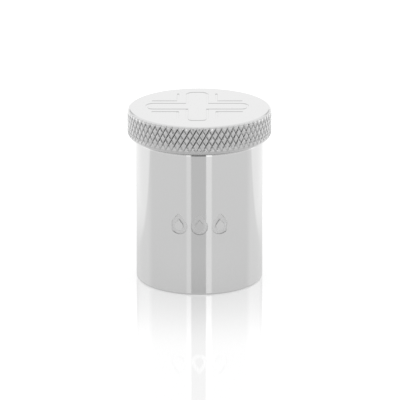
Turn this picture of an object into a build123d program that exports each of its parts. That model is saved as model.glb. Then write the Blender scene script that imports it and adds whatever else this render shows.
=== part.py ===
from build123d import *
import os
from math import asin, ceil, cos, radians, sin, tan

# Screw-cap oil stock: a plated brass tube with a soldered base, a threaded collar that carries a gilt cup,
# and a knurled screw cap with a loose rubber liner. Millimetres. +Z is up, the origin is at the bottom
# centre, and the engraved mark is on the front, which faces -Y.

# ---- driving dimensions ----
overall_height = 39.2

body_diameter = 28.4
body_wall = 1.4
body_top_round = 0.8        # on the tube's outer edge, just under the cap
body_foot_round = 0.4

base_thickness = 1.2
base_recess = 0.5           # the disc sits this far above the tube's edge

cap_diameter = 32.0         # over the knurl's crests
cap_height = 6.25
cap_plate = 1.0             # thickness of the cap's top
cap_top_round = 0.65
cap_foot_chamfer = 0.4
cap_mouth_chamfer = 0.3
cap_gap = 0.15              # air between the cap's skirt and the tube when the cap is tight

thread_diameter = 25.0      # over the collar's crests
thread_pitch = 1.5
thread_form = 0.6           # height from root to crest, as a share of the pitch
thread_crest = 0.22         # width of the collar's crest flat
thread_flank = 30.0         # degrees from the radial direction
thread_clearance = 0.12     # between the two threads, radially and along the axis
thread_relief = 0.6         # plain length of neck below and above the collar's thread
thread_bury = 0.2           # how far a ridge is sunk into the wall that it stands on

collar_bore = 21.0
collar_spigot = 6.0         # length soldered inside the tube

cup_wall = 0.5
cup_flange = 0.5            # thickness of the rim flange
cup_flange_diameter = 22.8
cup_depth = 31.0            # inside, from the rim
cup_corner = 2.5            # inside radius between wall and floor
cup_lip_round = 0.15

liner_thickness = 0.8
liner_diameter = 24.2
liner_edge_round = 0.15
liner_pocket = 0.3          # radial room around the liner
liner_pocket_extra = 0.3    # depth of the pocket beyond the liner

cross_reach = 11.2          # centre to the end of an arm, as for all of these at the line's middle
cross_arm = 4.5             # width of an arm
cross_end_radius = 1.5
cross_shift_left = 0.5      # the cross isn't quite in the middle of the cap
cross_shift_back = 0.8
bracket_offset = 4.3        # distance of the corner lines from the cross's own centre lines
bracket_reach = 9.9         # how far they run out
line_width = 0.5            # of every engraved line on the cap
line_depth = 0.16
line_slope = 15.0           # degrees from upright, of a line's sides

mark_height = 4.75
mark_width = 3.75
mark_spacing = 4.55
mark_count = 3
mark_level = 16.4           # middle of the mark above the base
mark_stroke = 0.95
mark_tip_radius = 0.4
mark_depth = 0.22

# ---- levels and radii worked out from them ----
body_radius = body_diameter / 2
body_bore_radius = body_radius - body_wall
cap_radius = cap_diameter / 2
cap_bottom = overall_height - cap_height
cap_ceiling = overall_height - cap_plate
body_top = cap_bottom - cap_gap
rim_top = cap_ceiling - liner_thickness
neck_top = rim_top - cup_flange

crest_radius = thread_diameter / 2
root_radius = crest_radius - thread_form * thread_pitch
collar_bore_radius = collar_bore / 2
cap_crest_radius = root_radius + thread_clearance
cap_root_radius = crest_radius + thread_clearance
pocket_radius = max(liner_diameter / 2 + liner_pocket, cap_root_radius + thread_clearance)
pocket_bottom = rim_top - liner_pocket_extra

cup_radius = collar_bore_radius
cup_bore_radius = cup_radius - cup_wall
cup_floor = rim_top - cup_depth


# ---- the screw thread ----
def collar_half_width(radius):
    """Half the axial width of the collar's ridge at a radius."""
    return thread_crest / 2 + (crest_radius - radius) * tan(radians(thread_flank))


def cap_half_width(radius):
    """Half the axial width of the cap's ridge, which fills the collar's groove less the clearance."""
    return thread_pitch / 2 - collar_half_width(radius) - thread_clearance


def thread_ridge(root, crest, half_width, phase, low, high):
    """A right-hand ridge, cut off flat at the levels low and high, so that it feathers out at both ends.

    Its crest lies outside its root on the collar and inside it on the cap. The helix passes +X at a whole
    number of pitches from body_top, moved up by phase, so the two threads are in mesh.
    """
    outward = 1 if crest > root else -1
    sunk = root - outward * thread_bury
    margin = half_width(sunk)
    datum = body_top + phase
    start = datum - thread_pitch * ceil((datum - low + margin) / thread_pitch)
    with BuildPart() as ridge:
        with BuildLine() as path:
            Helix(thread_pitch, high + margin - start, root, center=(0, 0, start))
        with BuildSketch(Plane.XZ) as section:
            with BuildLine():
                Polyline(
                    (sunk, start - half_width(sunk)),
                    (crest, start - half_width(crest)),
                    (crest, start + half_width(crest)),
                    (sunk, start + half_width(sunk)),
                    close=True,
                )
            make_face()
        sweep(sections=section.sketch, path=path.line, is_frenet=True)
        split(bisect_by=Plane.XY.offset(low), keep=Keep.TOP)
        split(bisect_by=Plane.XY.offset(high), keep=Keep.BOTTOM)
    return ridge.part


# ---- the engraved mark: outlined oil drops, cut into the tube to one depth ----
def drop_sketch(width, height, tip_radius):
    """An upright drop centred on its height: a round belly and two tangent sides that meet in a tip."""
    belly = width / 2
    belly_level = belly - height / 2
    tip_level = height / 2 - tip_radius
    lean = asin((belly - tip_radius) / (tip_level - belly_level))
    low = (belly * cos(lean), belly_level + belly * sin(lean))
    high = (tip_radius * cos(lean), tip_level + tip_radius * sin(lean))
    with BuildSketch() as drop:
        with BuildLine():
            Line(low, high)
            ThreePointArc(high, (0, height / 2), (-high[0], high[1]))
            Line((-high[0], high[1]), (-low[0], low[1]))
            ThreePointArc((-low[0], low[1]), (0, -height / 2), low)
        make_face()
    return drop.sketch


with BuildSketch() as outlined_drop:
    add(drop_sketch(mark_width, mark_height, mark_tip_radius))
    offset(amount=-mark_stroke, mode=Mode.SUBTRACT)

with BuildPart() as mark:
    with BuildSketch(Plane.XZ.offset(body_bore_radius)):
        with Locations((0, mark_level)):
            with GridLocations(mark_spacing, 0, mark_count, 1):
                add(outlined_drop.sketch)
    extrude(amount=2 * body_wall)
    with BuildSketch():
        Circle(body_radius - mark_depth)
    extrude(amount=body_top, mode=Mode.SUBTRACT)

# ---- body_shell: the tube that everything sits in ----
with BuildPart() as body_shell:
    with BuildSketch():
        Circle(body_radius)
        Circle(body_bore_radius, mode=Mode.SUBTRACT)
    extrude(amount=body_top)
    top = body_shell.faces().sort_by(Axis.Z)[-1].edges().sort_by(SortBy.RADIUS)[-1]
    foot = body_shell.faces().sort_by(Axis.Z)[0].edges().sort_by(SortBy.RADIUS)[-1]
    fillet(top, body_top_round)
    fillet(foot, body_foot_round)
    add(mark.part, mode=Mode.SUBTRACT)
body_shell.part.label = "body_shell"

# ---- base_disc: soldered into the tube's foot ----
with BuildPart() as base_disc:
    with BuildSketch(Plane.XY.offset(base_recess)):
        Circle(body_bore_radius)
    extrude(amount=base_thickness)
base_disc.part.label = "base_disc"

# ---- neck_collar: a spigot soldered into the tube's mouth, and the threaded neck above it ----
collar_ridge = thread_ridge(
    root_radius, crest_radius, collar_half_width, 0, body_top + thread_relief, neck_top - thread_bury
)

with BuildPart() as neck_collar:
    with BuildSketch(Plane.XY.offset(body_top - collar_spigot)):
        Circle(body_bore_radius)
        Circle(collar_bore_radius, mode=Mode.SUBTRACT)
    extrude(amount=collar_spigot)
    with BuildSketch(Plane.XY.offset(body_top)):
        Circle(root_radius)
        Circle(collar_bore_radius, mode=Mode.SUBTRACT)
    extrude(amount=neck_top - body_top)
    add(collar_ridge)
neck_collar.part.label = "neck_collar"

# ---- inner_cup: a drawn cup that hangs in the collar by its rim flange ----
with BuildPart() as inner_cup:
    with BuildSketch(Plane.XZ):
        with BuildLine():
            Line((0, cup_floor - cup_wall), (cup_radius - cup_corner - cup_wall, cup_floor - cup_wall))
            RadiusArc(
                (cup_radius - cup_corner - cup_wall, cup_floor - cup_wall),
                (cup_radius, cup_floor + cup_corner),
                -(cup_corner + cup_wall),
            )
            Polyline(
                (cup_radius, cup_floor + cup_corner),
                (cup_radius, neck_top),
                (cup_flange_diameter / 2, neck_top),
                (cup_flange_diameter / 2, rim_top),
                (cup_bore_radius, rim_top),
                (cup_bore_radius, cup_floor + cup_corner),
            )
            RadiusArc(
                (cup_bore_radius, cup_floor + cup_corner),
                (cup_bore_radius - cup_corner, cup_floor),
                cup_corner,
            )
            Polyline(
                (cup_bore_radius - cup_corner, cup_floor), (0, cup_floor), (0, cup_floor - cup_wall)
            )
        make_face()
    revolve(axis=Axis.Z)
    fillet(inner_cup.faces().sort_by(Axis.Z)[-1].edges(), cup_lip_round)
inner_cup.part.label = "inner_cup"

# ---- cap_liner: a rubber disc that lies loose against the cap's ceiling ----
with BuildPart() as cap_liner:
    with BuildSketch(Plane.XY.offset(rim_top)):
        Circle(liner_diameter / 2)
    extrude(amount=liner_thickness)
    fillet(cap_liner.edges().filter_by(GeomType.CIRCLE), liner_edge_round)
cap_liner.part.label = "cap_liner"

# ---- cap_shell: the turned cap, with its engraved plate and internal thread ----
with BuildPart() as engraving:
    cross_centre = (-cross_shift_left, cross_shift_back, overall_height)
    with BuildSketch(Plane(origin=cross_centre, x_dir=(1, 0, 0), z_dir=(0, 0, -1))):
        for half_line, mode in ((line_width / 2, Mode.ADD), (-line_width / 2, Mode.SUBTRACT)):
            for turn in (0, 90):
                RectangleRounded(
                    2 * (cross_reach + half_line),
                    cross_arm + 2 * half_line,
                    cross_end_radius + half_line,
                    rotation=turn,
                    mode=mode,
                )
        with PolarLocations(0, 4):
            bracket_run = bracket_reach - bracket_offset
            with Locations((bracket_offset + bracket_run / 2, bracket_offset)):
                SlotOverall(bracket_run + line_width, line_width)
            with Locations((bracket_offset, bracket_offset + bracket_run / 2)):
                SlotOverall(bracket_run + line_width, line_width, rotation=90)
    extrude(amount=line_depth, taper=line_slope)

cap_ridge = thread_ridge(
    cap_root_radius,
    cap_crest_radius,
    cap_half_width,
    thread_pitch / 2,
    cap_bottom + cap_mouth_chamfer,
    pocket_bottom,
)

with BuildPart() as cap_shell:
    with BuildSketch(Plane.XY.offset(cap_bottom)):
        Circle(cap_radius)
    extrude(amount=cap_height)
    rims = cap_shell.edges().filter_by(GeomType.CIRCLE).sort_by(Axis.Z)
    fillet(rims[-1], cap_top_round)
    chamfer(rims[0], cap_foot_chamfer)
    with BuildSketch(Plane.XY.offset(cap_bottom)):
        Circle(cap_root_radius)
    extrude(amount=pocket_bottom - cap_bottom, mode=Mode.SUBTRACT)
    with BuildSketch(Plane.XY.offset(pocket_bottom)):
        Circle(pocket_radius)
    extrude(amount=cap_ceiling - pocket_bottom, mode=Mode.SUBTRACT)
    mouth = cap_shell.faces().filter_by(GeomType.PLANE).sort_by(Axis.Z)[0]
    chamfer(mouth.edges().sort_by(SortBy.RADIUS)[0], cap_mouth_chamfer)
    add(cap_ridge)
    add(engraving.part, mode=Mode.SUBTRACT)
cap_shell.part.label = "cap_shell"

# ---- one STEP file for each piece ----
os.makedirs("parts", exist_ok=True)
for piece in (body_shell, base_disc, neck_collar, inner_cup, cap_liner, cap_shell):
    export_step(piece.part, f"parts/{piece.part.label}.step")
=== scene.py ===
"""Looks of a screw-cap oil stock.

A chrome-plated pot with a diamond-knurled screw cap, and a gilt cup inside.
"""

from math import cos, pi, radians, sin, sqrt, tan

import bmesh
import bpy
from bpy.props import FloatProperty, FloatVectorProperty, IntProperty, PointerProperty, StringProperty
from bpy.types import Operator, Panel, PropertyGroup
from mathutils import Matrix, Vector


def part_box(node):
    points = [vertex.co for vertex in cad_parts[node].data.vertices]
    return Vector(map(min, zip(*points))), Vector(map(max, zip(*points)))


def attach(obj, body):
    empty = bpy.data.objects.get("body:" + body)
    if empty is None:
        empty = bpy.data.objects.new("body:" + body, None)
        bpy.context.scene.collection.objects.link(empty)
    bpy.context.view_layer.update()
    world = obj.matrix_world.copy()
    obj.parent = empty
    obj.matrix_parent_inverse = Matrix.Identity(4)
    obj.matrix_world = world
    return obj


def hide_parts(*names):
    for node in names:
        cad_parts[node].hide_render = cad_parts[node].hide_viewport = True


bl_info = {
    "name": "Screw-cap oil stock",
    "version": (1, 0, 0),
    "blender": (4, 5, 0),
    "location": "3D View > Sidebar > Oil stock",
    "description": "Plated pocket oil stock with a knurled screw cap, around its packed model",
    "category": "Object",
}

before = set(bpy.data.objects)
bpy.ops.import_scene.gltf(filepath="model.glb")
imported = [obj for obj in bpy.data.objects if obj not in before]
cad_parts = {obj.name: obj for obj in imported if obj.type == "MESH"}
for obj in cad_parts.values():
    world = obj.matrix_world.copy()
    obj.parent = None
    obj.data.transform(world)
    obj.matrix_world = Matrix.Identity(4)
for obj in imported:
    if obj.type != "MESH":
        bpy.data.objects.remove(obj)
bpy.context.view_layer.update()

MM = 0.001
SAME_PLACE = 0.001 * MM      # points nearer than this are one point
FACING_UP = 0.9999           # a face whose normal rises more than this is level


# ---- sizes and colours that a user would change ----
class StockFinishes(PropertyGroup):
    """Colours of the plated, gilt and rubber surfaces."""

    chrome: StringProperty(name="Chrome", description="Colour of polished chrome plate", default="#BDBDBD")
    # painted light: the chrome's colour at the foot is brighter than the plate's, standing in for a brighter
    # reflection there
    chrome_foot_painted_light: StringProperty(name="Chrome foot", description="Chrome plate at the foot", default="#CDCDCD")
    frost: StringProperty(name="Frost", description="Chrome in the engraved drops", default="#BEBEBE")
    crest: StringProperty(name="Crest", description="Chrome on the knurl's diamonds", default="#B2B2B2")
    # painted shade: the knurl's grooves are coloured darker than its crests, as shade
    groove: StringProperty(name="Groove", description="Chrome deep in the knurl", default="#747474")
    gilt: StringProperty(name="Gilt", description="Gold plate in the cup", default="#F4CE83")
    gilt_weak: StringProperty(name="Weak gilt", description="Gold plate where it is thin", default="#E6B05E")
    rubber: StringProperty(name="Rubber", description="Moulded sealing rubber", default="#262524")
    bloom: StringProperty(name="Bloom", description="Rubber where wax has come out", default="#45433F")
    polish_roughness: FloatProperty(
        name="Polish", description="Roughness of buffed chrome", default=0.03, min=0.0, max=1.0
    )


class StockKnurl(PropertyGroup):
    """The diamond knurl round the cap."""

    starts: IntProperty(name="Starts", description="Grooves of each hand round the cap", default=72, min=12)
    angle: FloatProperty(
        name="Angle", description="Lean of the grooves from the axis", default=radians(30), subtype="ANGLE"
    )
    depth: FloatProperty(
        name="Depth", description="Depth of the rising grooves", default=0.27 * MM, unit="LENGTH", precision=5
    )
    second_depth: FloatProperty(
        name="Second depth", description="Depth of the falling grooves", default=0.19 * MM, unit="LENGTH",
        precision=5,
    )
    top_round: FloatProperty(
        name="Top round", description="Round between the plate and the band", default=0.65 * MM,
        unit="LENGTH", precision=5,
    )
    bevel_depth: FloatProperty(
        name="Bevel depth", description="How far the foot's bevel goes in", default=0.4 * MM, unit="LENGTH",
        precision=5,
    )
    bevel_height: FloatProperty(
        name="Bevel height", description="How far the foot's bevel goes up", default=0.8 * MM, unit="LENGTH",
        precision=5,
    )
    run_out: FloatProperty(
        name="Run-out", description="Height over which the grooves fade above the bevel", default=1.3 * MM,
        unit="LENGTH", precision=5,
    )
    line_depth: FloatProperty(
        name="Line depth", description="Depth of the plate's engraved lines", default=0.1 * MM, unit="LENGTH",
        precision=5,
    )
    line_round: FloatProperty(
        name="Line round", description="Softening of the engraved lines' edges", default=0.04 * MM,
        unit="LENGTH", precision=5,
    )


class StockTube(PropertyGroup):
    """The tube and the drops engraved in it."""

    top_round: FloatProperty(
        name="Top round", description="Round of the tube's outer edge, under the cap", default=0.8 * MM,
        unit="LENGTH", precision=5,
    )
    foot_round: FloatProperty(
        name="Foot round", description="Round of the tube's outer edge at the foot", default=0.4 * MM,
        unit="LENGTH", precision=5,
    )
    drop_depth: FloatProperty(
        name="Drop depth", description="About how deep the drops are, to find their faces",
        default=0.22 * MM, unit="LENGTH", precision=5,
    )
    drop_round: FloatProperty(
        name="Drop round", description="Softening of the engraved drops' edges", default=0.14 * MM,
        unit="LENGTH", precision=5,
    )


class StockStage(PropertyGroup):
    """Floor, camera and light."""

    view_distance: FloatProperty(
        name="Distance", description="Camera to pivot point", default=0.7, unit="LENGTH"
    )
    view_elevation: FloatProperty(
        name="Elevation", description="Camera above the horizon", default=radians(17.8), subtype="ANGLE"
    )
    view_pivot: FloatVectorProperty(
        name="Pivot", description="Point that the camera's distance is measured from",
        default=(0.0, 0.0, 0.019), subtype="TRANSLATION",
    )
    view_aim: FloatVectorProperty(
        name="Aim", description="Point in the middle of the picture", default=(0.00012, 0.0, 0.01756),
        subtype="TRANSLATION",
    )
    lens: FloatProperty(name="Lens", description="Focal length in millimetres", default=281.5, min=1.0)
    floor_size: FloatProperty(name="Floor", description="Side of the floor", default=6.0, unit="LENGTH")
    floor: StringProperty(name="Floor colour", description="Opal acrylic sheet", default="#9A9A9A")


# ---- small helpers ----
def linear(hex_colour):
    """An sRGB hex colour as linear red, green, blue and alpha."""
    channels = [int(hex_colour[i:i + 2], 16) / 255 for i in (1, 3, 5)]
    return (*[c / 12.92 if c <= 0.04045 else ((c + 0.055) / 1.055) ** 2.4 for c in channels], 1.0)


def node(tree, kind, links=(), **settings):
    """Adds a node; settings are its own properties or input values, links are (input, output socket)."""
    made = tree.nodes.new(kind)
    values = settings.pop("values", {})
    for name, value in settings.items():
        setattr(made, name, value)
    for name, value in values.items():
        made.inputs[name].default_value = value
    for name, socket in links:
        tree.links.new(socket, made.inputs[name])
    return made


def new_material(name):
    """An empty node material with its Principled shader, and that shader's tree."""
    material = bpy.data.materials.new(name)
    material.use_nodes = True
    tree = material.node_tree
    tree.nodes.clear()
    shader = node(tree, "ShaderNodeBsdfPrincipled")
    node(tree, "ShaderNodeOutputMaterial", [("Surface", shader.outputs["BSDF"])])
    return material, tree, shader


def to_object(bm, name):
    """Writes a bmesh to a new object at the origin."""
    mesh = bpy.data.meshes.new(name)
    bm.to_mesh(mesh)
    bm.free()
    made = bpy.data.objects.new(name, mesh)
    bpy.context.scene.collection.objects.link(made)
    return made


def finish_with(obj, material):
    """Gives an object one material in place of those it has."""
    obj.data.materials.clear()
    obj.data.materials.append(material)


# ---- finishes ----
PAINTED_FOOT_LIGHT_HEIGHT = 13               # a chosen height in millimetres over which the plate's tint, painted brighter towards the foot as painted light, changes


def turning_rings(tree, feed, depth):
    """Uneven ridges a feed apart, along radius and height together: their normal and their height."""
    place = node(tree, "ShaderNodeTexCoord").outputs["Object"]
    parts = node(tree, "ShaderNodeSeparateXYZ", [("Vector", place)]).outputs
    flat = node(tree, "ShaderNodeCombineXYZ", [("X", parts["X"]), ("Y", parts["Y"])])
    radius = node(tree, "ShaderNodeVectorMath", [(0, flat.outputs["Vector"])], operation="LENGTH")
    along = node(tree, "ShaderNodeMath", [(0, radius.outputs["Value"]), (1, parts["Z"])], operation="ADD")
    rings = node(
        tree, "ShaderNodeTexNoise", [("W", along.outputs["Value"])], noise_dimensions="1D",
        values={"Scale": 1 / feed, "Detail": 1.0},
    )
    bump = node(
        tree, "ShaderNodeBump", [("Height", rings.outputs["Fac"])],
        values={"Strength": 1.0, "Distance": depth},
    )
    return bump.outputs["Normal"], rings.outputs["Fac"]


def polished_chrome():
    """Bright chrome plate over buffed brass: a mirror, with faint haze where the mop has passed.

    The tint is a little brighter towards the foot: painted light, in place of a brighter reflection there.
    That is chosen and isn't how chrome plates.
    """
    looks = bpy.context.scene.stock_finishes
    material, tree, shader = new_material("polished_chrome")
    shader.inputs["Metallic"].default_value = 1.0
    place = node(tree, "ShaderNodeTexCoord").outputs["Object"]
    level = node(tree, "ShaderNodeSeparateXYZ", [("Vector", place)]).outputs["Z"]
    # painted light: the base colour grows brighter towards the foot, in place of a brighter reflection
    plate = node(
        tree, "ShaderNodeMapRange", [("Value", level)], interpolation_type="SMOOTHSTEP",
        values={"From Min": 0.0, "From Max": PAINTED_FOOT_LIGHT_HEIGHT * MM},
    )
    tone = node(
        tree, "ShaderNodeMix", [("Factor", plate.outputs["Result"])], data_type="RGBA",
        values={6: linear(looks.chrome_foot_painted_light), 7: linear(looks.chrome)},
    )
    tree.links.new(tone.outputs[2], shader.inputs["Base Color"])
    haze = node(
        tree, "ShaderNodeTexNoise", [("Vector", place)], values={"Scale": 1 / (6 * MM), "Detail": 3.0}
    )
    rough = node(
        tree, "ShaderNodeMapRange", [("Value", haze.outputs["Fac"])],
        values={"From Min": 0.35, "From Max": 0.75, "To Min": looks.polish_roughness,
                "To Max": looks.polish_roughness + 0.03},
    )
    tree.links.new(rough.outputs["Result"], shader.inputs["Roughness"])
    # the mop leaves the faintest waviness, a few millimetres from crest to crest
    wave = node(
        tree, "ShaderNodeTexNoise", [("Vector", place)], values={"Scale": 1 / (5 * MM), "Detail": 1.0}
    )
    bump = node(
        tree, "ShaderNodeBump", [("Height", wave.outputs["Fac"])],
        values={"Strength": 1.0, "Distance": 0.003 * MM},
    )
    tree.links.new(bump.outputs["Normal"], shader.inputs["Normal"])
    return material


def frosted_chrome():
    """Chrome plate over the cutter's fine frost: satin and greyer, so that the drops stand out."""
    looks = bpy.context.scene.stock_finishes
    material, tree, shader = new_material("frosted_chrome")
    shader.inputs["Base Color"].default_value = linear(looks.frost)
    shader.inputs["Metallic"].default_value = 1.0
    place = node(tree, "ShaderNodeTexCoord").outputs["Object"]
    grain = node(tree, "ShaderNodeTexNoise", [("Vector", place)], values={"Scale": 1 / (0.12 * MM)})
    rough = node(
        tree, "ShaderNodeMapRange", [("Value", grain.outputs["Fac"])], values={"To Min": 0.25, "To Max": 0.5}
    )
    tree.links.new(rough.outputs["Result"], shader.inputs["Roughness"])
    return material


def knurled_chrome():
    """Chrome plate over a rolled knurl: rougher in the grooves, where the mop can't reach, and darker there
    with painted shade.
    """
    looks = bpy.context.scene.stock_finishes
    material, tree, shader = new_material("knurled_chrome")
    shader.inputs["Metallic"].default_value = 1.0
    # the groove layer is painted shade deep in the knurl: it darkens the colour, and it also roughens the
    # plate
    depth = node(tree, "ShaderNodeAttribute", attribute_name="groove").outputs["Fac"]
    tone = node(
        tree, "ShaderNodeMix", [("Factor", depth)], data_type="RGBA",
        values={6: linear(looks.crest), 7: linear(looks.groove)},
    )
    tree.links.new(tone.outputs[2], shader.inputs["Base Color"])
    rough = node(
        tree, "ShaderNodeMapRange", [("Value", depth)],
        values={"To Min": 0.14, "To Max": 0.3},
    )
    tree.links.new(rough.outputs["Result"], shader.inputs["Roughness"])
    return material


def turned_chrome():
    """Chrome plate over turned brass that was never buffed: the tool's rings show through."""
    looks = bpy.context.scene.stock_finishes
    material, tree, shader = new_material("turned_chrome")
    shader.inputs["Base Color"].default_value = linear(looks.chrome)
    shader.inputs["Metallic"].default_value = 1.0
    # a usual feed is about 0.1 mm; the rings are drawn 0.35 mm apart, which is as fine as shows
    normal, rings = turning_rings(tree, 0.35 * MM, 0.012 * MM)
    tree.links.new(normal, shader.inputs["Normal"])
    rough = node(tree, "ShaderNodeMapRange", [("Value", rings)], values={"To Min": 0.1, "To Max": 0.26})
    tree.links.new(rough.outputs["Result"], shader.inputs["Roughness"])
    return material


def gilt_plate():
    """Gold plate in the drawn cup: satin rings from spinning, and a redder gold where the bath was weak."""
    looks = bpy.context.scene.stock_finishes
    material, tree, shader = new_material("gilt_plate")
    shader.inputs["Metallic"].default_value = 1.0
    normal, rings = turning_rings(tree, 0.6 * MM, 0.01 * MM)
    tree.links.new(normal, shader.inputs["Normal"])
    rough = node(tree, "ShaderNodeMapRange", [("Value", rings)], values={"To Min": 0.12, "To Max": 0.28})
    tree.links.new(rough.outputs["Result"], shader.inputs["Roughness"])
    place = node(tree, "ShaderNodeTexCoord").outputs["Object"]
    patches = node(
        tree, "ShaderNodeTexNoise", [("Vector", place)], values={"Scale": 1 / (7 * MM), "Detail": 2.0}
    )
    tone = node(
        tree, "ShaderNodeMix", [("Factor", patches.outputs["Fac"])], data_type="RGBA",
        values={6: linear(looks.gilt), 7: linear(looks.gilt_weak)},
    )
    tree.links.new(tone.outputs[2], shader.inputs["Base Color"])
    return material


def moulded_rubber():
    """Black nitrile rubber from a satin mould: matte, a little paler where it has bloomed."""
    looks = bpy.context.scene.stock_finishes
    material, tree, shader = new_material("moulded_rubber")
    place = node(tree, "ShaderNodeTexCoord").outputs["Object"]
    patches = node(
        tree, "ShaderNodeTexNoise", [("Vector", place)], values={"Scale": 1 / (4 * MM), "Detail": 4.0}
    )
    share = node(
        tree, "ShaderNodeMapRange", [("Value", patches.outputs["Fac"])],
        values={"From Min": 0.4, "From Max": 0.7},
    )
    tone = node(
        tree, "ShaderNodeMix", [("Factor", share.outputs["Result"])], data_type="RGBA",
        values={6: linear(looks.rubber), 7: linear(looks.bloom)},
    )
    tree.links.new(tone.outputs[2], shader.inputs["Base Color"])
    rough = node(
        tree, "ShaderNodeMapRange", [("Value", share.outputs["Result"])],
        values={"To Min": 0.5, "To Max": 0.75},
    )
    tree.links.new(rough.outputs["Result"], shader.inputs["Roughness"])
    # a spark-eroded mould leaves a pebble, taken as 0.25 mm
    pebble = node(tree, "ShaderNodeTexNoise", [("Vector", place)], values={"Scale": 1 / (0.25 * MM)})
    bump = node(
        tree, "ShaderNodeBump", [("Height", pebble.outputs["Fac"])],
        values={"Strength": 1.0, "Distance": 0.04 * MM},
    )
    tree.links.new(bump.outputs["Normal"], shader.inputs["Normal"])
    return material


# ---- the knurled cap ----
TILE = 6                     # mesh squares along each side of one diamond
JOIN_STRIP = 0.07            # width in millimetres of the strip that joins the band to the turned part
PLATE_SKIN = 0.4             # millimetres under the plate's top that hold nothing but the engraved lines
PLATE_MARGIN = 0.6           # millimetres in from the crest that the engraving stays clear of
TOP_CUTS = (0.0, 0.35, 0.62, 0.82)     # levels cut in the top round, as shares of its height
FOOT_CUTS = (0.25, 0.5, 0.75, 1.0)     # levels cut in the foot's bevel, as shares of its height
FOOT_DEPTH = 0.45            # share of the grooves' depth that is left below the run-out
FOOT_SHADE = 0.6             # share of the grooves' painted shade that is left below the run-out
FALLING_SHADE = 0.65         # painted shade of the falling grooves beside that of the rising ones


def v_groove(place, half_width):
    """How deep a place is in a V groove whose middle is at 0: 1 at the bottom, 0 beyond its edges."""
    return max(0.0, 1 - abs(place) / half_width)


def knurl_band(low, high, crest):
    """The knurled band as a bmesh, from one flat tile that is duplicated, spun and merged.

    A tile is one diamond. Its sides run along two grooves, and the groove layers keep how far a point is in
    them: first for the rising grooves, second for the falling ones, half for the shallow lines between.
    """
    knurl = bpy.context.scene.stock_knurl
    pitch = 2 * pi * crest / knurl.starts
    rise = pitch / tan(knurl.angle)
    bm = bmesh.new()
    bmesh.ops.create_grid(bm, x_segments=TILE, y_segments=TILE, size=0.5)
    first = bm.verts.layers.float.new("first")
    second = bm.verts.layers.float.new("second")
    between = bm.verts.layers.float.new("between")
    for vert in bm.verts:
        across, other = vert.co.x, vert.co.y
        vert[first] = v_groove(0.5 - abs(across), 1 / TILE)
        vert[second] = v_groove(0.5 - abs(other), 1 / TILE)
        vert[between] = max(v_groove(across, 1 / TILE), v_groove(other, 1 / TILE))
        turn = pitch * (across + other) / 2 / crest
        height = (low + high) / 2 + rise * (other - across) / 2
        vert.co = Vector((crest * sin(turn), -crest * cos(turn), height))
    tile = bm.verts[:] + bm.edges[:] + bm.faces[:]
    rows = int((high - low) / rise) + 2
    half_turn = Matrix.Rotation(pitch / crest / 2, 3, "Z")
    for row in range(-rows, rows + 1):
        if row == 0:
            continue
        copy = bmesh.ops.duplicate(bm, geom=tile)["geom"]
        verts = [item for item in copy if isinstance(item, bmesh.types.BMVert)]
        if row % 2:
            bmesh.ops.rotate(bm, cent=(0, 0, 0), matrix=half_turn, verts=verts)
        bmesh.ops.translate(bm, vec=(0, 0, row * rise / 2), verts=verts)
    bmesh.ops.spin(
        bm, geom=bm.verts[:] + bm.edges[:] + bm.faces[:], cent=(0, 0, 0), axis=(0, 0, 1),
        angle=2 * pi * (knurl.starts - 1) / knurl.starts, steps=knurl.starts - 1, use_duplicate=True,
    )
    bmesh.ops.remove_doubles(bm, verts=bm.verts, dist=0.005 * MM)
    return bm


def cut_level(bm, level, clear=0):
    """Cuts the mesh at a level; clear 1 removes what is above it, -1 what is below."""
    bmesh.ops.bisect_plane(
        bm, geom=bm.verts[:] + bm.edges[:] + bm.faces[:], plane_co=(0, 0, level), plane_no=(0, 0, 1),
        dist=1e-7, clear_outer=clear > 0, clear_inner=clear < 0,
    )


def end_radius(level, low, high, crest):
    """Radius of the band's outline at a level: the top round, the plain side, and the bevel at the foot."""
    knurl = bpy.context.scene.stock_knurl
    above = level - (high - knurl.top_round)
    if above > 0:
        return crest - knurl.top_round + sqrt(max(0.0, knurl.top_round ** 2 - above ** 2))
    below = low + knurl.bevel_height - level
    return crest - knurl.bevel_depth * (max(0.0, below) / knurl.bevel_height) ** 1.5


def press_knurl(bm, low, high, crest):
    """Cuts the band to its levels, presses the grooves in, and keeps it inside its outline."""
    knurl = bpy.context.scene.stock_knurl
    cut_level(bm, low + JOIN_STRIP * MM, clear=-1)
    cut_level(bm, high - JOIN_STRIP * MM / 6, clear=1)
    for share in TOP_CUTS:
        cut_level(bm, high - knurl.top_round * (1 - share))
    for share in FOOT_CUTS:
        cut_level(bm, low + knurl.bevel_height * share)
    first = bm.verts.layers.float["first"]
    second = bm.verts.layers.float["second"]
    between = bm.verts.layers.float["between"]
    groove = bm.verts.layers.float.new("groove")
    for vert in bm.verts:
        level = vert.co.z
        fade = min(1.0, max(0.0, (level - low - knurl.bevel_height) / knurl.run_out))
        main = max(knurl.depth * vert[first], knurl.second_depth * vert[second])
        main *= FOOT_DEPTH + (1 - FOOT_DEPTH) * fade
        extra = knurl.second_depth * vert[between] * max(0.0, 1 - abs(2 * fade - 0.8))
        pressed = crest - max(main, extra)
        radius = min(pressed, end_radius(level, low, high, crest))
        clear = min(1.0, (level - low) / knurl.bevel_height)
        # painted shade for the groove layer: darkest in the rising grooves, less in the falling ones, and
        # fading below the run-out and on the bevel
        shade = max(vert[first], FALLING_SHADE * vert[second])
        vert[groove] = shade * (FOOT_SHADE + (1 - FOOT_SHADE) * fade) * clear ** 2
        vert.co = Matrix.Diagonal((radius / vert.co.xy.length, radius / vert.co.xy.length, 1)) @ vert.co


def rim_loop(bm, faces_of, level, near):
    """Open edges near a level, of the faces given."""
    return [
        edge for edge in bm.edges
        if edge.is_boundary and edge.link_faces[0] in faces_of
        and all(abs(v.co.z - level) < near for v in edge.verts)
    ]


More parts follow.
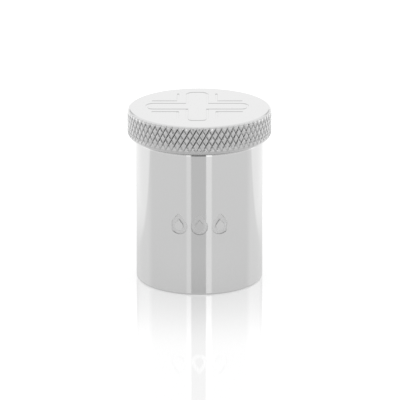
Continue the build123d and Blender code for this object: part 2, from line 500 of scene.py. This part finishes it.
def sharpen(bm, angle, flat=()):
    """Smooth faces, with edges kept sharp round the flat ones and where they turn by more than an angle."""
    for face in bm.faces:
        face.smooth = True
    for edge in bm.edges:
        beside = [face in flat for face in edge.link_faces]
        edge.smooth = len(beside) == 2 and beside[0] == beside[1] and edge.calc_face_angle(0) < angle


def soften_engraving(bm, high, width, depth, crest):
    """Rounds the edges where engraved lines meet the plate, and scales the lines' depth to the one given."""
    inside = crest - PLATE_MARGIN * MM
    flat = {
        face for face in bm.faces
        if face.normal.z > FACING_UP and all(abs(v.co.z - high) < SAME_PLACE for v in face.verts)
    }
    rim = [
        edge for edge in bm.edges
        if len(edge.link_faces) == 2 and (edge.link_faces[0] in flat) != (edge.link_faces[1] in flat)
        and all(v.co.xy.length < inside for v in edge.verts)
    ]
    bmesh.ops.bevel(
        bm, geom=rim, offset=width, segments=3, profile=0.5, affect="EDGES", material=-1, clamp_overlap=True
    )
    cut = [v for v in bm.verts if 0 < high - v.co.z < PLATE_SKIN * MM and v.co.xy.length < inside]
    share = depth / max(high - v.co.z for v in cut)
    bmesh.ops.scale(bm, vec=(1, 1, share), space=Matrix.Translation((0, 0, -high)), verts=cut)


class MESH_OT_stock_cap(Operator):
    """Makes the knurled cap: the frame's engraved plate and thread, with a knurled band round them"""

    bl_idname = "mesh.stock_cap"
    bl_label = "Knurled cap"

    def execute(self, context):
        box_low, box_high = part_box("cap_shell")
        low, high, crest = box_low.z, box_high.z, box_high.x
        knurl = context.scene.stock_knurl
        inner = crest - max(knurl.top_round, knurl.bevel_depth) - SAME_PLACE
        cap = bmesh.new()
        cap.from_mesh(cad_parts["cap_shell"].data)
        bmesh.ops.remove_doubles(cap, verts=cap.verts, dist=SAME_PLACE)
        outside = [
            face for face in cap.faces
            if all(v.co.xy.length > inner for v in face.verts) and abs(face.normal.z) < FACING_UP
        ]
        bmesh.ops.delete(cap, geom=outside, context="FACES")
        soften_engraving(cap, high, knurl.line_round, knurl.line_depth, crest)
        turned = set(cap.faces)
        band = knurl_band(low, high, crest)
        press_knurl(band, low, high, crest)
        band_mesh = bpy.data.meshes.new("band")
        band.to_mesh(band_mesh)
        band.free()
        cap.from_mesh(band_mesh)
        bpy.data.meshes.remove(band_mesh)
        knurled = set(cap.faces) - turned
        for level in (low, high):
            turned_loop = rim_loop(cap, turned, level, 0.02 * MM)
            knurled_loop = rim_loop(cap, knurled, level, 1.5 * JOIN_STRIP * MM)
            bmesh.ops.bridge_loops(cap, edges=turned_loop + knurled_loop)
        rolled = (low + knurl.bevel_height / 2, high - knurl.top_round * 1.01)
        for face in cap.faces:
            level = face.calc_center_median().z
            face.material_index = 1 if face in knurled and rolled[0] < level < rolled[1] else 0
        plate = {face for face in turned if face.normal.z > FACING_UP}
        sharpen(cap, radians(60), plate)
        made = to_object(cap, "knurled_cap")
        for material in (bpy.data.materials["polished_chrome"], knurled_chrome()):
            made.data.materials.append(material)
        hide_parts("cap_shell")
        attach(made, "cap")
        return {"FINISHED"}


# ---- the tube ----
SKIN_NEAR = 0.002            # millimetres under the crest that still count as the skin, to find the drops
NORMAL_NEAR = 0.003          # the same where normals are set, a little looser
LEVEL_END = 0.999            # a face whose normal rises or falls more than this is one of the tube's ends


def skin_normal(place, crest, top, tube):
    """Direction outwards from the tube's turned skin: straight out, or along the radius of its end rounds."""
    if place.z > top - tube.top_round:
        size, middle = tube.top_round, top - tube.top_round
    elif place.z < tube.foot_round:
        size, middle = tube.foot_round, tube.foot_round
    else:
        size, middle = 1.0, place.z
    out = Vector((place.x, place.y, 0)).normalized()
    across = max(0.0, place.xy.length - crest + size)
    return (out * across + Vector((0, 0, place.z - middle))).normalized()


def on_skin(place, crest, top, tube):
    """Whether a point is on the tube's turned outside, end rounds included, and not in a drop."""
    near = NORMAL_NEAR * MM
    if place.z > top - tube.top_round or place.z < tube.foot_round:
        return place.xy.length > crest - max(tube.top_round, tube.foot_round) - near
    return place.xy.length > crest - near


class MESH_OT_stock_body(Operator):
    """Makes the tube: the frame's tube, with the edges of its engraved drops softened"""

    bl_idname = "mesh.stock_body"
    bl_label = "Tube"

    def execute(self, context):
        tube = context.scene.stock_tube
        box_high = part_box("body_shell")[1]
        crest, top = box_high.x, box_high.z
        body = bmesh.new()
        body.from_mesh(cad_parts["body_shell"].data)
        bmesh.ops.remove_doubles(body, verts=body.verts, dist=SAME_PLACE)
        near = SKIN_NEAR * MM
        skin = {face for face in body.faces if all(v.co.xy.length > crest - near for v in face.verts)}
        rim = [
            edge for edge in body.edges
            if len(edge.link_faces) == 2 and (edge.link_faces[0] in skin) != (edge.link_faces[1] in skin)
            and all(tube.foot_round + near < v.co.z < top - tube.top_round - near for v in edge.verts)
        ]
        if not rim:
            raise RuntimeError("the tube has no engraved drops")
        bmesh.ops.bevel(
            body, geom=rim, offset=tube.drop_round, segments=3, profile=0.5, affect="EDGES", material=-1,
            clamp_overlap=True,
        )
        sharpen(body, radians(50))
        for face in body.faces:
            depths = [crest - v.co.xy.length for v in face.verts]
            inside = all(tube.foot_round < v.co.z < top - tube.top_round for v in face.verts)
            recess = inside and max(depths) < 2 * tube.drop_depth and max(depths) > 0.4 * tube.drop_depth
            face.material_index = 1 if recess else 0
        made = to_object(body, "engraved_tube")
        mesh = made.data
        normals = [Vector((0, 0, 0))] * len(mesh.loops)
        for face in mesh.polygons:
            corners = [mesh.vertices[i].co for i in face.vertices]
            flat_end = abs(face.normal.z) > LEVEL_END
            if flat_end or not all(on_skin(place, crest, top, tube) for place in corners):
                continue
            for loop in face.loop_indices:
                place = mesh.vertices[mesh.loops[loop].vertex_index].co
                normals[loop] = skin_normal(place, crest, top, tube)
        mesh.normals_split_custom_set(normals)
        for material in (bpy.data.materials["polished_chrome"], frosted_chrome()):
            mesh.materials.append(material)
        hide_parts("body_shell")
        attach(made, "vessel")
        return {"FINISHED"}


# ---- pieces that keep their own shape ----
class OBJECT_OT_stock_finishes(Operator):
    """Gives the pieces that keep their own shape their finishes, and makes the chrome of the other two"""

    bl_idname = "object.stock_finishes"
    bl_label = "Finishes"

    def execute(self, context):
        polished_chrome()    # the cap and the tube look this up by its name
        turned = turned_chrome()
        finishes = {
            "base_disc": turned,
            "neck_collar": turned,
            "inner_cup": gilt_plate(),
            "cap_liner": moulded_rubber(),
        }
        for name, material in finishes.items():
            finish_with(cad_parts[name], material)
        return {"FINISHED"}


# ---- the stage ----
# Brightness of the studio's walls round the object, as (degrees from the front, brightness). The levels here
# and in the floor's painted light are all chosen.
WALLS = (
    (-180, 1.41), (-142, 1.3), (-108, 1.5), (-95, 1.03),
    (-24.0, 1.0), (-22.8, 1.5), (-15.6, 1.5), (-15.0, 0.28), (11.2, 0.28), (11.9, 1.9), (21.6, 1.9),
    (22.8, 1.0), (95, 1.03), (108, 1.5), (142, 1.3), (180, 1.41),
)
# How much of that light is left behind the two grey screens that stand at the back.
SCREENS = (
    (-180, 1.0), (-174, 1.0), (-170, 0.65), (-158, 0.65), (-142, 1.0), (142, 1.0), (158, 0.65), (170, 0.65),
    (174, 1.0), (180, 1.0),
)
CEILING = (1.42, 1.1)        # brightness of the ceiling, at the back and at the front
SCREEN_FOOT = (16.0, 16.8)   # degrees above the horizon where the screens start
GAP_TOP = (24, 27)           # degrees above the horizon where the walls give way to the ceiling
CEILING_RUN = (-0.4, 0.2)    # how far forward and back the ceiling's tone runs, as part of a direction
LIGHT_MAP = 2048             # width of the map that the light is sampled from
FLOOR_PAINTED_LIGHT = (0.42, 0.58)          # the floor's painted light: dimmer under the object as a painted shadow, and brighter away from it
PAINTED_LIGHT_RUN = (16, 50)          # millimetres from the middle over which it rises
BACK_RUN = (13.5, 21)        # millimetres behind the middle over which the painted side light starts
BACK_SKEW = -0.06            # how much that line leans across the picture
SIDE_RUN = (18, 58)          # millimetres to each side over which the painted side light rises
SIDE_PAINTED_LIGHT = 0.21             # the most painted light that it adds


def round_the_room(tree, share, steps):
    """A colour ramp round the room, from steps as (degrees from the front, brightness)."""
    made = node(tree, "ShaderNodeValToRGB", [("Fac", share)])
    ramp = made.color_ramp
    while len(ramp.elements) < len(steps):
        ramp.elements.new(0.5)
    for element, (degrees, tone) in zip(ramp.elements, steps):
        element.position = (degrees + 180) / 360
        element.color = (tone, tone, tone, 1.0)
    return made.outputs["Color"]


def between_levels(tree, height, levels):
    """0 below the first and 1 above the second of two levels, in degrees above the horizon."""
    low, high = (sin(radians(level)) for level in levels)
    return node(
        tree, "ShaderNodeMapRange", [("Value", height)], values={"From Min": low, "From Max": high}
    ).outputs["Result"]


def world_light():
    """A white studio as seen from the object: walls with a dark gap at the front, and a white ceiling."""
    world = bpy.data.worlds.new("studio")
    bpy.context.scene.world = world
    world.use_nodes = True
    tree = world.node_tree
    tree.nodes.clear()
    direction = node(tree, "ShaderNodeTexCoord").outputs["Generated"]
    parts = node(tree, "ShaderNodeSeparateXYZ", [("Vector", direction)]).outputs
    back = node(tree, "ShaderNodeMath", [(0, parts["Y"])], operation="MULTIPLY", values={1: -1.0})
    turn = node(tree, "ShaderNodeMath", [(0, parts["X"]), (1, back.outputs["Value"])], operation="ARCTAN2")
    share = node(
        tree, "ShaderNodeMapRange", [("Value", turn.outputs["Value"])],
        values={"From Min": -pi, "From Max": pi},
    ).outputs["Result"]
    screened = node(
        tree, "ShaderNodeMix",
        [("Factor", between_levels(tree, parts["Z"], SCREEN_FOOT)), (6, round_the_room(tree, share, WALLS)),
         (7, round_the_room(tree, share, SCREENS))],
        data_type="RGBA", blend_type="MULTIPLY",
    )
    ceiling = node(
        tree, "ShaderNodeMapRange", [("Value", parts["Y"])],
        values={"From Min": CEILING_RUN[0], "From Max": CEILING_RUN[1], "To Min": CEILING[1],
                "To Max": CEILING[0]},
    )
    light = node(
        tree, "ShaderNodeMix",
        [("Factor", between_levels(tree, parts["Z"], GAP_TOP)), (6, screened.outputs[2]),
         (7, ceiling.outputs["Result"])],
        data_type="RGBA",
    )
    sky = node(tree, "ShaderNodeBackground", [("Color", light.outputs[2])])
    node(tree, "ShaderNodeOutputWorld", [("Surface", sky.outputs["Background"])])
    world.cycles.sampling_method = "MANUAL"
    world.cycles.sample_map_resolution = LIGHT_MAP


def opal_acrylic_painted_light():
    """A polished opal acrylic sheet, white and glossy, with a glow of painted light: brighter away from what
    stands on it, and dim next to it as a painted shadow.
    """
    stage = bpy.context.scene.stock_stage
    material, tree, shader = new_material("opal_acrylic_painted_light")
    shader.inputs["Base Color"].default_value = linear(stage.floor)
    shader.inputs["Roughness"].default_value = 0.0
    shader.inputs["IOR"].default_value = 2.0
    shader.inputs["Emission Color"].default_value = (1.0, 1.0, 1.0, 1.0)
    place = node(tree, "ShaderNodeTexCoord").outputs["Object"]
    parts = node(tree, "ShaderNodeSeparateXYZ", [("Vector", place)]).outputs
    distance = node(tree, "ShaderNodeVectorMath", [(0, place)], operation="LENGTH")
    # painted shadow: the floor's glow is weakest next to the object and rises away from it
    spread = node(
        tree, "ShaderNodeMapRange", [("Value", distance.outputs["Value"])], interpolation_type="SMOOTHSTEP",
        values={"From Min": PAINTED_LIGHT_RUN[0] * MM, "From Max": PAINTED_LIGHT_RUN[1] * MM, "To Min": FLOOR_PAINTED_LIGHT[0],
                "To Max": FLOOR_PAINTED_LIGHT[1]},
    )
    # the painted side light starts along a line behind the object, which runs a little askew
    skew = node(
        tree, "ShaderNodeMath", [(0, parts["X"]), (2, parts["Y"])], operation="MULTIPLY_ADD",
        values={1: BACK_SKEW},
    )
    behind = node(
        tree, "ShaderNodeMapRange", [("Value", skew.outputs["Value"])], interpolation_type="SMOOTHSTEP",
        values={"From Min": BACK_RUN[0] * MM, "From Max": BACK_RUN[1] * MM},
    )
    aside = node(tree, "ShaderNodeMath", [(0, parts["X"])], operation="ABSOLUTE")
    wings = node(
        tree, "ShaderNodeMapRange", [("Value", aside.outputs["Value"])], interpolation_type="SMOOTHSTEP",
        values={"From Min": SIDE_RUN[0] * MM, "From Max": SIDE_RUN[1] * MM, "To Min": 0.0,
                "To Max": SIDE_PAINTED_LIGHT},
    )
    extra = node(
        tree, "ShaderNodeMath",
        [(0, behind.outputs["Result"]), (1, wings.outputs["Result"]), (2, spread.outputs["Result"])],
        operation="MULTIPLY_ADD",
    )
    # the floor's emission is painted light and shade, not a lamp
    tree.links.new(extra.outputs["Value"], shader.inputs["Emission Strength"])
    return material


class SCENE_OT_stock_stage(Operator):
    """Makes the floor, the light and the camera"""

    bl_idname = "scene.stock_stage"
    bl_label = "Stage"

    def execute(self, context):
        stage = context.scene.stock_stage
        bm = bmesh.new()
        bmesh.ops.create_grid(bm, x_segments=1, y_segments=1, size=stage.floor_size / 2)
        floor = to_object(bm, "floor")
        finish_with(floor, opal_acrylic_painted_light())
        world_light()
        camera_data = bpy.data.cameras.new("camera")
        camera_data.lens = stage.lens
        camera_data.clip_end = 10.0
        camera = bpy.data.objects.new("camera", camera_data)
        context.scene.collection.objects.link(camera)
        back = Vector((0, -cos(stage.view_elevation), sin(stage.view_elevation)))
        camera.location = Vector(stage.view_pivot) + back * stage.view_distance
        look = Vector(stage.view_aim) - camera.location
        camera.rotation_euler = look.to_track_quat("-Z", "Y").to_euler()
        context.scene.camera = camera
        context.scene.view_settings.view_transform = "Standard"
        return {"FINISHED"}


class VIEW3D_PT_stock(Panel):
    """Lists the operators"""

    bl_idname = "VIEW3D_PT_stock"
    bl_label = "Oil stock"
    bl_space_type = "VIEW_3D"
    bl_region_type = "UI"
    bl_category = "Oil stock"

    def draw(self, context):
        for operator in OPERATORS:
            self.layout.operator(operator.bl_idname)


OPERATORS = (OBJECT_OT_stock_finishes, MESH_OT_stock_cap, MESH_OT_stock_body, SCENE_OT_stock_stage)
GROUPS = {
    "stock_finishes": StockFinishes,
    "stock_knurl": StockKnurl,
    "stock_tube": StockTube,
    "stock_stage": StockStage,
}


def register():
    for cls in (*GROUPS.values(), *OPERATORS, VIEW3D_PT_stock):
        bpy.utils.register_class(cls)
    for name, group in GROUPS.items():
        setattr(bpy.types.Scene, name, PointerProperty(type=group))


def unregister():
    for name in GROUPS:
        delattr(bpy.types.Scene, name)
    for cls in reversed((*GROUPS.values(), *OPERATORS, VIEW3D_PT_stock)):
        bpy.utils.unregister_class(cls)


def main():
    register()
    for operator in OPERATORS:
        family, action = operator.bl_idname.split(".")
        getattr(getattr(bpy.ops, family), action)()
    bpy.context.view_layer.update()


if __name__ == "__main__":
    main()
